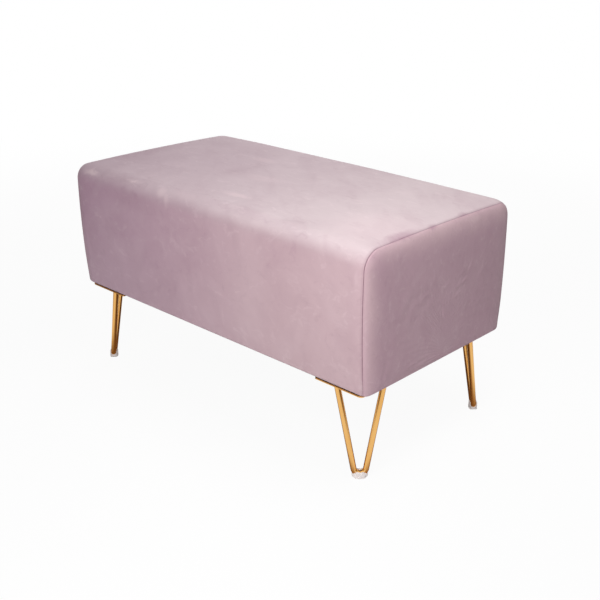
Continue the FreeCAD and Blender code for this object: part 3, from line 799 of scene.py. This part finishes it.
def buildEndPanel(name, side):
    # Lines that follow the panel's edge, each further in, and then a fold of flat
    # lines that closes the middle
    lines = []
    r = body["seamRound"]
    baseRadius = body["baseRadius"]
    firstInset = body["seamDepth"] + r + body["seamAllowance"]
    lines.append((seamX + panel["seamGap"], firstInset, 0.0))
    for inset in endPanel["insets"]:
        out = endHeight(inset, side)
        turned = r - math.sqrt(r * r - (r - out) ** 2) if out < r else 0.0
        intoRound = max(0.0, baseRadius - (endDepth[side] - endHeight(inset, side, bodyBase)))
        rise = baseRadius - math.sqrt(baseRadius ** 2 - intoRound ** 2)
        lines.append((seamX + panel["seamGap"] + out, body["seamDepth"] + inset + turned, rise))
    points = []
    for x, inset, rise in lines:
        front, back = bothHalves(side * x, inset, rise)
        ring = [(-p.x, p.y) for p in front] + [(p.x, p.y) for p in reversed(back[:-1])]
        fromSeam = max(0.0, x - seamX) + max(0.0, inset - body["seamDepth"])
        gather = fold["height"] * math.exp(-fromSeam / fold["run"]) * endPanel["gather"]
        for y, z in ring:
            deep = smoothStep(0.0, endPanel["crownRun"], inset)
            offBase = smoothStep(0.0, lump["offBase"], z - bodyBase)
            bow = endPanel["crown"] * deep * offBase
            offEdge = smoothStep(*endPanel["swellFrom"], inset)
            bow += swell(side * x, y, z, endPanel["swellDraw"]) * offEdge * offBase
            bow += puckers(side * x, y, z) * gather * offBase
            if inset != firstInset:
                fromRim = inset - body["seamDepth"]
                bow += endHeight(fromRim, side, z) - endHeight(fromRim, side)
            points.append((side * (x + bow), y, z))
    columns = len(points) // len(lines)
    lastLine = points[-columns:]
    middle = columns // 2
    spineTop = lastLine[middle][2] - lastLine[0][2]
    for row in range(1, endPanel["spineRows"] + 1):
        share = row / endPanel["spineRows"]
        for i, (x, y, z) in enumerate(lastLine):
            along = 1 - abs(i - middle) / middle
            spineZ = lastLine[0][2] + spineTop * endPanel["spineHeight"] * smoothStep(0.0, 1.0, along)
            newY = y * (1 - share)
            newZ = z + (spineZ - z) * share
            uneven = swell(side * seamX, newY, newZ, endPanel["swellDraw"]) * endPanel["spineSwell"]
            points.append((x + side * uneven * share, newY, newZ))
    rows = len(points) // columns
    faces = gridFaces(rows, columns, side > 0)
    # Under the base: a flap that starts at the panel's lower edge
    underRows = [[row * columns for row in range(1, rows)]
                 + [row * columns + columns - 1 for row in range(rows - 2, 0, -1)]]
    for share in endPanel["underShares"]:
        start = len(points)
        points += [underPoint(points[index], side, share) for index in underRows[0]]
        underRows.append(range(start, len(points)))
    faces += rowFaces(underRows, side > 0)
    return makePiece(name, fitted(points), faces, endVelvet)


# The fabric settles over its foam as simulated cloth, held at its seams and its base

settling = {"frames": 20, "slack": 0.005, "pressure": 4.0, "foamHold": 0.06, "farthest": 0.0016,
            "heldNear": 0.002, "freeFrom": 0.016, "quality": 4, "mass": 0.3, "tension": 18.0,
            "compression": 12.0, "shear": 6.0, "bending": 0.6}


def readPlaces(mesh):
    places = np.empty(len(mesh.vertices) * 3)
    mesh.vertices.foreach_get("co", places)
    return places.reshape(-1, 3)


def settleFabric(piece):
    start = readPlaces(piece.data)
    held = piece.vertex_groups.new(name="held")
    for i, (x, y, z) in enumerate(start):
        nearest = min(distanceFromSeam(x), z - bodyBase)
        free = smoothStep(settling["heldNear"], settling["freeFrom"], nearest)
        held.add([i], settling["foamHold"] + (1 - settling["foamHold"]) * (1 - free), "REPLACE")
    modifier = piece.modifiers.new("settle", "CLOTH")
    cloth = modifier.settings
    cloth.quality = settling["quality"]
    cloth.mass = settling["mass"]
    cloth.tension_stiffness = settling["tension"]
    cloth.compression_stiffness = settling["compression"]
    cloth.shear_stiffness = settling["shear"]
    cloth.bending_stiffness = settling["bending"]
    cloth.vertex_group_mass = held.name
    cloth.pin_stiffness = 1.0
    cloth.shrink_min = -settling["slack"]
    cloth.use_pressure = True
    cloth.uniform_pressure_force = settling["pressure"]
    cloth.effector_weights.gravity = 0.0
    modifier.collision_settings.use_collision = False
    modifier.point_cache.frame_start = 1
    modifier.point_cache.frame_end = settling["frames"]
    for step in range(1, settling["frames"] + 1):
        scene.frame_set(step)
    settled = piece.evaluated_get(bpy.context.evaluated_depsgraph_get())
    moved = readPlaces(settled.to_mesh()) - start
    settled.to_mesh_clear()
    piece.modifiers.remove(modifier)
    piece.vertex_groups.remove(held)
    scene.frame_set(1)
    reach = np.linalg.norm(moved, axis=1)
    limit = settling["farthest"] * np.tanh(reach / settling["farthest"]) / np.maximum(reach, 1e-9)
    piece.data.vertices.foreach_set("co", (start + moved * limit[:, None]).ravel())
    piece.data.update()
    print(piece.name, "settled, farthest move in mm:", round(float(reach.max()) * 1000, 2))


def dress(piece, node):
    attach(piece, "root")
    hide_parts(node)
    settleFabric(piece)
    finer = piece.modifiers.new("finer", "SUBSURF")
    finer.levels = 1
    finer.render_levels = 1


mainPanel = buildMainPanel()
dress(mainPanel, "cover_main")
for endName, side in (("left", -1), ("right", 1)):
    sewnPanel = buildEndPanel("velvetEndPanel" + endName.capitalize(), side)
    dress(sewnPanel, "cover_end_" + endName)
print("velvet panels made")


# Foam: the frame's slabs with softly rounded edges and an uneven cut face

pad = {"voxel": 0.0045, "rounding": 6, "uneven": 0.0004, "unevenScale": 38.0}


def remeshed(name, node, voxel, rounding, material):
    # A rounded copy of a CAD node's form
    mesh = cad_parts[node].data.copy()
    piece = bpy.data.objects.new(name, mesh)
    scene.collection.objects.link(piece)
    remesh = piece.modifiers.new("remesh", "REMESH")
    remesh.mode = "VOXEL"
    remesh.voxel_size = voxel
    remesh.use_smooth_shade = True
    smooth = piece.modifiers.new("smooth", "SMOOTH")
    smooth.factor = 0.5
    smooth.iterations = rounding
    formed = piece.evaluated_get(bpy.context.evaluated_depsgraph_get())
    result = bpy.data.meshes.new_from_object(formed)
    piece.modifiers.clear()
    piece.data = result
    bpy.data.meshes.remove(mesh)
    result.name = name
    result.materials.clear()
    result.materials.append(material)
    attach(piece, "root")
    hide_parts(node)
    return piece


for node, name in (("seat_foam", "seatFoam"), ("foam_front", "frontFoam"), ("foam_back", "backFoam"),
                   ("foam_end_left", "leftEndFoam"), ("foam_end_right", "rightEndFoam")):
    slab = remeshed(name, node, pad["voxel"], pad["rounding"], foam)
    places = readPlaces(slab.data)
    outward = np.empty(places.size)
    slab.data.vertices.foreach_get("normal", outward)
    lumps = [noise.noise(Vector(place * pad["unevenScale"])) * pad["uneven"] for place in places]
    places += outward.reshape(-1, 3) * np.array(lumps)[:, None]
    slab.data.vertices.foreach_set("co", places.ravel())
print("foam slabs made")


# Felt dust cover: stapled round its edge, and hanging a little between the plates

felt = {"thickness": 0.0024, "step": 0.006, "cornerRadius": 0.013, "sag": 0.0030,
        "flatEdge": 0.030, "freeEdge": 0.110, "plateSide": 0.112, "plateRun": 0.05,
        "ripple": 0.0005, "rippleScale": 24, "rippleDraw": 4.0, "rippleFrom": (0.012, 0.04),
        "ripplePlateRun": 0.03}


def buildFelt():
    low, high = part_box("dust_cover")
    middleZ = (low.z + high.z) / 2
    columns = round((high.x - low.x) / felt["step"]) + 1
    rows = round((high.y - low.y) / felt["step"]) + 1
    points = []
    for j in range(rows):
        for i in range(columns):
            x = low.x + (high.x - low.x) * i / (columns - 1)
            y = low.y + (high.y - low.y) * j / (rows - 1)
            toEdge = min(x - low.x, high.x - x, y - low.y, high.y - y)
            fromPlate = max(high.x - abs(x), high.y - abs(y)) - felt["plateSide"]
            free = smoothStep(felt["flatEdge"], felt["freeEdge"], toEdge)
            free *= smoothStep(0.0, felt["plateRun"], fromPlate)
            wave = Vector((x * felt["rippleScale"], y * felt["rippleScale"], felt["rippleDraw"]))
            ripple = abs(noise.noise(wave)) * felt["ripple"]
            ripple *= (smoothStep(*felt["rippleFrom"], toEdge)
                       * smoothStep(0.0, felt["ripplePlateRun"], fromPlate))
            height = middleZ - felt["sag"] * free - ripple
            # Its corners are cut round
            radius = felt["cornerRadius"]
            cornerX = max(0.0, abs(x) - high.x + radius) / radius
            cornerY = max(0.0, abs(y) - high.y + radius) / radius
            if cornerX > 0 and cornerY > 0:
                squeeze = max(cornerX, cornerY) / math.hypot(cornerX, cornerY)
                x = math.copysign(high.x - radius + cornerX * squeeze * radius, x)
                y = math.copysign(high.y - radius + cornerY * squeeze * radius, y)
            points.append((x, y, height))
    piece = makePiece("dustCoverFelt", points, gridFaces(rows, columns), blackFelt)
    thicken = piece.modifiers.new("thicken", "SOLIDIFY")
    thicken.thickness = felt["thickness"]
    thicken.offset = 0.0
    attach(piece, "root")
    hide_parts("dust_cover")
    return piece


buildFelt()
print("dust cover made")


# Foot caps: moulded boots with rounded rims

cap = {"voxel": 0.00045, "rounding": 3, "saddleFrom": 0.0055, "saddleRun": 0.003,
       "saddleRise": 0.0032, "saddleHalf": 0.0085}
for node in sorted(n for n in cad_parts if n.startswith("foot_cap")):
    words = node.split("_")
    boot = remeshed("footCap" + words[2].capitalize() + words[3].capitalize(), node,
                    cap["voxel"], cap["rounding"], capPlastic)
    # The lip stands higher in the middle, over the bend
    places = readPlaces(boot.data)
    middle = (places.min(axis=0) + places.max(axis=0)) / 2
    along = np.array((-np.sign(middle[1]), np.sign(middle[0]))) / math.sqrt(2)
    aside = np.abs((places[:, :2] - middle[:2]) @ along)
    upper = np.clip((places[:, 2] - cap["saddleFrom"]) / cap["saddleRun"], 0, 1)
    places[:, 2] += upper * cap["saddleRise"] * np.clip(1 - (aside / cap["saddleHalf"]) ** 2, 0, 1)
    boot.data.vertices.foreach_set("co", places.ravel())
    boot.data.update()
print("foot caps made")


# CAD pieces that stay get their finish

def finishNodes(material, *beginnings):
    count = 0
    for name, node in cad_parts.items():
        if name.startswith(beginnings):
            node.data.materials.clear()
            node.data.materials.append(material)
            count += 1
    return count


done = finishNodes(rodGold, "leg_rod", "leg_welds") + finishNodes(plateGold, "leg_plate")
done += finishNodes(wire, "cover_staples", "dust_cover_staples")
done += finishNodes(plywood, "side_board", "end_board", "centre_brace", "top_board")
done += finishNodes(pine, "rail_", "corner_post", "corner_block")
done += finishNodes(zinc, "leg_screws", "top_board_screws", "post_screws")
print("CAD nodes finished:", done)


# Floor, light and camera

studio = {"floorRadius": 12.0, "floorRings": 24, "floorColour": (0.80, 0.80, 0.80),
          "cameraWhite": 0.94, "mirrorWhite": 0.76, "fadeFrom": 0.9, "fadeTo": 2.6, "worldLight": 0.22,
          "paintedShadowHalf": (0.42, 0.23), "paintedShadowEdge": (-0.05, 0.08),
          "paperTurn": 41.3, "paperHalf": 0.50, "paperEdge": 0.5,
          "dimReflection": (0.34, 0.20, 0.11)}


def lightPath(finish, output):
    return finish.make("ShaderNodeLightPath", {}, {}, output)


def onPaper(finish, place):
    # The white paper is a broad strip that runs from the camera past the bench; beside it
    # the world is painted dim for reflections only, as a dim room, which is what the sides of the rods
    # mirror
    aside = abs(finish.axis(finish.turned(place, -studio["paperTurn"]), "X"))
    return 1 - aside.between(studio["paperHalf"], studio["paperHalf"] + studio["paperEdge"])


def makeStudioWhite():
    # To the camera it is nearly white and still takes the shadow; the metal mirrors the
    # paper as white too, except under the bench, where a painted shadow is left for
    # reflections; to reflections its own colour is a painted dim brown; far out it is as white as the
    # world
    finish = newFinish("studioWhite")
    place = finish.place()
    far = finish.length(place).between(studio["fadeFrom"], studio["fadeTo"])
    # Painted shadow: to reflections, the floor under the bench loses its white
    halfLength, halfDepth = studio["paintedShadowHalf"]
    outside = abs(finish.axis(place, "X")) - halfLength
    outside = outside.atLeast(abs(finish.axis(place, "Y")) - halfDepth)
    direct = lightPath(finish, "Is Camera Ray").atLeast(lightPath(finish, "Is Transmission Ray"))
    mirrored = lightPath(finish, "Is Glossy Ray") * outside.between(*studio["paintedShadowEdge"])
    mirrored = mirrored * studio["mirrorWhite"] * onPaper(finish, place)
    seen = (direct * (studio["cameraWhite"] + far * (1 - studio["cameraWhite"]))).atLeast(mirrored)
    # Painted reflection: to reflections the floor's own colour is a dim brown
    matt = finish.blend(lightPath(finish, "Is Glossy Ray"), studio["floorColour"], studio["dimReflection"])
    matt = finish.make("ShaderNodeBsdfDiffuse", {}, {"Color": matt})
    bright = finish.make("ShaderNodeEmission", {}, {"Color": (1.0, 1.0, 1.0), "Strength": 1.0})
    shader = finish.make("ShaderNodeMixShader", {}, {0: seen, 1: matt, 2: bright})
    # Seen from below it is clear, so that the underside can be looked at
    below = finish.make("ShaderNodeNewGeometry", {}, {}, "Backfacing")
    clear = finish.make("ShaderNodeBsdfTransparent", {}, {})
    shader = finish.make("ShaderNodeMixShader", {}, {0: below, 1: shader, 2: clear})
    finish.make("ShaderNodeOutputMaterial", {}, {"Surface": shader})
    return finish.owner


def makeWorld():
    finish = Finish(bpy.data.worlds.new("studioWorld"))
    direction = finish.make("ShaderNodeTexCoord", {}, {}, "Generated")
    seen = lightPath(finish, "Is Camera Ray").atLeast(lightPath(finish, "Is Transmission Ray"))
    seen = seen.atLeast(lightPath(finish, "Is Glossy Ray") * onPaper(finish, direction))
    white = (1.0, 1.0, 1.0)
    # Painted reflection: beside the paper the world is dim brown to reflections
    tint = finish.blend(lightPath(finish, "Is Glossy Ray"), white, studio["dimReflection"])
    dim = finish.make("ShaderNodeBackground", {}, {"Color": tint, "Strength": studio["worldLight"]})
    bright = finish.make("ShaderNodeBackground", {}, {"Color": white, "Strength": 1.0})
    shader = finish.make("ShaderNodeMixShader", {}, {0: seen, 1: dim, 2: bright})
    finish.make("ShaderNodeOutputWorld", {}, {"Surface": shader})
    return finish.owner


rings = studio["floorRings"]
rim = [(math.cos(2 * math.pi * i / rings) * studio["floorRadius"],
        math.sin(2 * math.pi * i / rings) * studio["floorRadius"], 0.0) for i in range(rings)]
floorMesh = bpy.data.meshes.new("studioFloor")
floorMesh.from_pydata(rim, [], [tuple(range(rings))])
floorMesh.materials.append(makeStudioWhite())
floor = bpy.data.objects.new("studioFloor", floorMesh)
scene.collection.objects.link(floor)
scene.world = makeWorld()

lamps = {
    "top": {"at": (0.54, 0.0, 1.52), "to": (0.1, 0.0, 0.3), "size": 0.6, "watts": 9.4},
    "front": {"at": (0.60, -0.95, 0.85), "to": (0.1, 0.0, 0.3), "size": 0.6, "watts": 8.5},
    "back": {"at": (-0.95, 1.15, 0.80), "to": (-0.1, 0.0, 0.25), "size": 0.9, "watts": 8.0},
}


def addLamp(name, settings):
    light = bpy.data.lights.new(name, "AREA")
    light.shape = "SQUARE"
    light.size = settings["size"]
    light.energy = settings["watts"]
    lamp = bpy.data.objects.new(name, light)
    scene.collection.objects.link(lamp)
    lamp.visible_camera = False
    lamp.visible_glossy = False
    lamp.location = settings["at"]
    direction = Vector(settings["to"]) - Vector(settings["at"])
    lamp.rotation_euler = direction.to_track_quat("-Z", "Y").to_euler()


for lampName, settings in lamps.items():
    addLamp(lampName + "Lamp", settings)

view = {"at": (1.29063, -1.26557, 0.92498), "yaw": 0.7211, "pitch": 0.4265, "roll": 0.0148,
        "focalPixels": 939.18, "middle": (347.41, 336.02), "pixels": 600.0, "sensor": 36.0,
        "nearest": 0.05, "farthest": 50.0}
forward = Vector((-math.sin(view["yaw"]) * math.cos(view["pitch"]),
                  math.cos(view["yaw"]) * math.cos(view["pitch"]), -math.sin(view["pitch"])))
level = Vector((math.cos(view["yaw"]), math.sin(view["yaw"]), 0.0))
upward = level.cross(forward)
right = level * math.cos(view["roll"]) + upward * math.sin(view["roll"])
up = upward * math.cos(view["roll"]) - level * math.sin(view["roll"])
cameraData = bpy.data.cameras.new("photoCamera")
cameraData.sensor_width = view["sensor"]
cameraData.lens = view["sensor"] * view["focalPixels"] / view["pixels"]
cameraData.shift_x = (view["pixels"] / 2 - view["middle"][0]) / view["pixels"]
cameraData.shift_y = (view["middle"][1] - view["pixels"] / 2) / view["pixels"]
cameraData.clip_start = view["nearest"]
cameraData.clip_end = view["farthest"]
camera = bpy.data.objects.new("photoCamera", cameraData)
scene.collection.objects.link(camera)
camera.matrix_world = Matrix.Translation(view["at"]) @ Matrix((right, up, -forward)).transposed().to_4x4()
scene.camera = camera
scene.view_settings.view_transform = "Standard"
